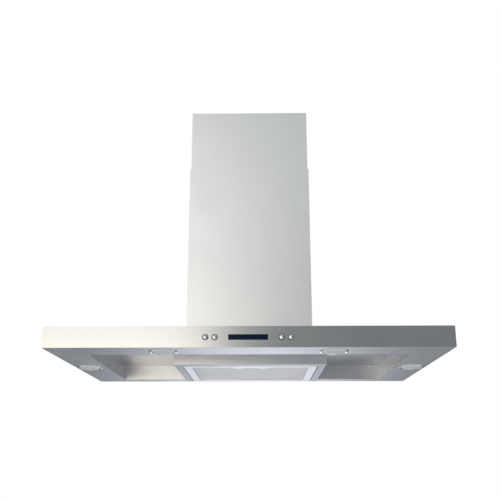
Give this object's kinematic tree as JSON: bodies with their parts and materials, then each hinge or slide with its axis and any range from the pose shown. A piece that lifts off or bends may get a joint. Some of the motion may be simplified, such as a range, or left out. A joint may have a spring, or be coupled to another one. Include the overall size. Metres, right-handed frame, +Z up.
{
  "type": "island range hood",
  "caption": "Island range hood: flat rectangular canopy with front buttons and display, lamps and a grease filter underneath, on a square telescopic chimney hung from the ceiling.",
  "frame": {"origin": "centre of the ceiling plate's top face, which is the centre of its four ceiling holes", "axes": "+Z up into the ceiling, -Y towards the front with the controls, +X to the right when the controls are faced"},
  "size_m": [0.9, 0.604, 0.653],
  "materials": {
    "brushed_stainless": "brushed",
    "liner_stainless": "satin",
    "galvanised_steel": "galvanised",
    "zinc_plated_steel": "zinc plated",
    "polished_chrome": "polished",
    "filter_aluminium": "satin",
    "capacitor_can": "drawn",
    "black_plastic": "moulded",
    "grey_plastic": "moulded",
    "motor_iron": "painted",
    "rubber": "moulded",
    "lens_glass": "frosted",
    "dark_glass": "polished",
    "board_laminate": "laminate",
    "lead_insulation": "extruded"
  },
  "bodies": {
    "ceiling_frame": {"ceiling_plate": "zinc_plated_steel", "upper_posts": "zinc_plated_steel", "upper_post_bolts": "zinc_plated_steel"},
    "upper_chimney": {"upper_cover_front": "brushed_stainless", "upper_cover_back": "brushed_stainless", "upper_cover_screws": "polished_chrome"},
    "hood": {"lower_posts": "zinc_plated_steel", "post_clamp_bolts": "polished_chrome", "post_clamp_nuts": "polished_chrome", "frame_screws": "zinc_plated_steel", "lower_cover_front": "brushed_stainless", "lower_cover_back": "brushed_stainless", "lower_cover_screws": "polished_chrome", "canopy_shell": "brushed_stainless", "canopy_liner": "liner_stainless", "filter_housing": "liner_stainless", "filter_hinge_brackets": "zinc_plated_steel", "blower_box": "galvanised_steel", "blower_box_screws": "zinc_plated_steel", "scroll_housing": "black_plastic", "inlet_ring": "grey_plastic", "fan_motor": "motor_iron", "motor_bracket": "zinc_plated_steel", "motor_grommets": "rubber", "motor_screws": "zinc_plated_steel", "run_capacitor": "capacitor_can", "capacitor_clip": "zinc_plated_steel", "outlet_collar": "black_plastic", "damper_pin": "polished_chrome", "junction_box": "galvanised_steel", "junction_box_lid": "galvanised_steel", "cable_gland": "black_plastic", "terminal_block": "grey_plastic", "lamp_bezels": "polished_chrome", "lamp_lenses": "lens_glass", "lamp_reflectors": "polished_chrome", "lamp_bulbs": "lens_glass", "lamp_cans": "galvanised_steel", "lamp_clips": "zinc_plated_steel", "lamp_transformer": "black_plastic", "control_housing": "black_plastic", "control_board": "board_laminate", "display_module": "black_plastic", "display_window": "dark_glass", "tact_switches": "black_plastic", "button_guide_plate": "black_plastic", "wiring_harness": "lead_insulation"},
    "fan": {"fan_wheel": "grey_plastic", "motor_shaft": "polished_chrome"},
    "front_flap": {"damper_flap_front": "grey_plastic"},
    "rear_flap": {"damper_flap_rear": "grey_plastic"},
    "filter": {"filter_frame": "filter_aluminium", "filter_mesh": "filter_aluminium", "filter_hinge_pins": "polished_chrome", "latch_housing": "filter_aluminium"},
    "latch": {"filter_latch": "black_plastic"},
    "button_light": {"button_light": "polished_chrome"},
    "button_slower": {"button_slower": "polished_chrome"},
    "button_faster": {"button_faster": "polished_chrome"},
    "button_power": {"button_power": "polished_chrome"}
  },
  "joints": [
    {"name": "height_adjust", "type": "slide", "parent": "ceiling_frame", "child": "hood", "axis": [0, 0, -1], "range_m": [-0.08, 0.15]},
    {"name": "upper_cover_slide", "type": "slide", "parent": "ceiling_frame", "child": "upper_chimney", "axis": [0, 0, -1], "range_m": [0, 0.06]},
    {"name": "fan_spin", "type": "hinge", "parent": "hood", "child": "fan", "pos_m": [0, 0.05, -0.49], "axis": [1, 0, 0], "continuous": true},
    {"name": "front_flap_hinge", "type": "hinge", "parent": "hood", "child": "front_flap", "pos_m": [0, -0.02, -0.34], "axis": [-1, 0, 0], "range_deg": [0, 80]},
    {"name": "rear_flap_hinge", "type": "hinge", "parent": "hood", "child": "rear_flap", "pos_m": [0, -0.02, -0.34], "axis": [1, 0, 0], "range_deg": [0, 80]},
    {"name": "filter_tilt", "type": "hinge", "parent": "hood", "child": "filter", "pos_m": [0, 0.283, -0.64], "axis": [1, 0, 0], "range_deg": [0, 75]},
    {"name": "latch_slide", "type": "slide", "parent": "filter", "child": "latch", "axis": [0, 1, 0], "range_m": [0, 0.005], "stiffness_N_per_m": 400, "springref_m": -0.002},
    {"name": "button_light_press", "type": "slide", "parent": "hood", "child": "button_light", "axis": [0, 1, 0], "range_m": [0, 0.002], "stiffness_N_per_m": 800, "springref_m": -0.001},
    {"name": "button_slower_press", "type": "slide", "parent": "hood", "child": "button_slower", "axis": [0, 1, 0], "range_m": [0, 0.002], "stiffness_N_per_m": 800, "springref_m": -0.001},
    {"name": "button_faster_press", "type": "slide", "parent": "hood", "child": "button_faster", "axis": [0, 1, 0], "range_m": [0, 0.002], "stiffness_N_per_m": 800, "springref_m": -0.001},
    {"name": "button_power_press", "type": "slide", "parent": "hood", "child": "button_power", "axis": [0, 1, 0], "range_m": [0, 0.002], "stiffness_N_per_m": 800, "springref_m": -0.001}
  ]
}
